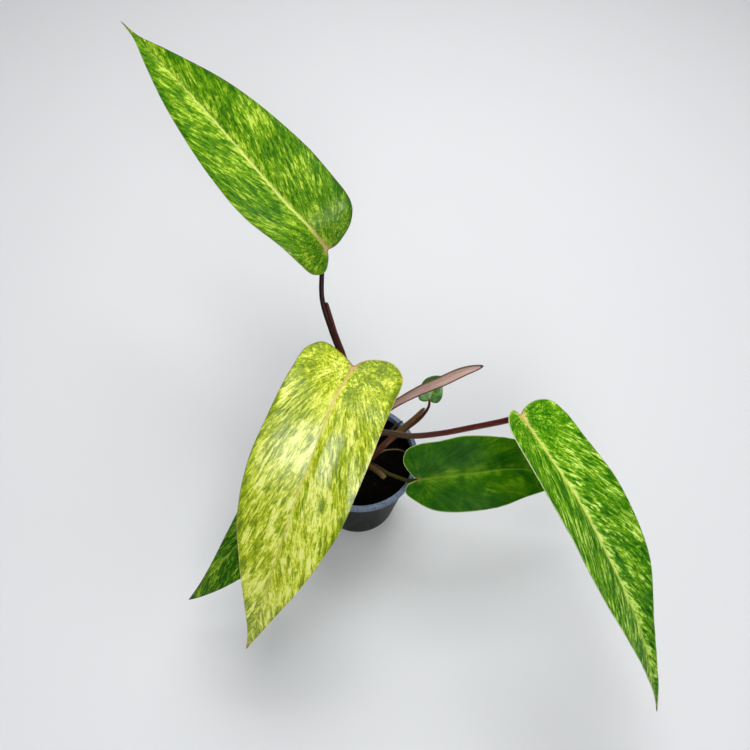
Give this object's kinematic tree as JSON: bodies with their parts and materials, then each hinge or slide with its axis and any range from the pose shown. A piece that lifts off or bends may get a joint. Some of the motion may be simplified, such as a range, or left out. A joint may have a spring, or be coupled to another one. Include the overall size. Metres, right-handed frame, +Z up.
{
  "type": "potted philodendron",
  "caption": "Young variegated philodendron with long heart-based leaves on arching petioles, growing in a small round black nursery pot of dark soil.",
  "frame": {"origin": "centre of the underside of the pot, on the surface the pot stands on", "axes": "+Z up along the pot's axis; the largest pale leaf hangs forward towards -Y, the tallest leaf reaches back and up towards +Y, the drooping green leaf is on the +X side"},
  "size_m": [0.407, 0.4524, 0.314],
  "materials": {
    "black_plastic": "satin moulded plastic",
    "potting_mix": "dark moist peat and bark crumb",
    "stem_skin": "dull fibrous skin",
    "petiole_red": "satin red-brown skin",
    "petiole_olive": "satin olive skin",
    "leaf_lime": "waxy leaf, chartreuse with green flecks",
    "leaf_green": "waxy leaf, green with pale yellow flecks",
    "leaf_dark": "waxy leaf, deep green",
    "cataphyll_pink": "papery, dusty pink with darker edges",
    "dry_brown": "dry and matte"
  },
  "bodies": {
    "root": {"nursery_pot": "black_plastic", "potting_soil": "potting_mix", "main_stem": "stem_skin", "leaf_top": "leaf_green", "leaf_front": "leaf_lime", "leaf_right": "leaf_green", "leaf_low": "leaf_dark", "leaf_rear": "leaf_green", "leaf_young": "leaf_dark", "petiole_top": "petiole_red", "petiole_front": "petiole_red", "petiole_right": "petiole_red", "petiole_low": "petiole_olive", "petiole_rear": "petiole_red", "petiole_young": "petiole_olive", "cataphyll": "cataphyll_pink", "cut_petiole_stub": "petiole_olive", "aerial_root": "dry_brown", "dry_scrap": "dry_brown"}
  },
  "joints": []
}
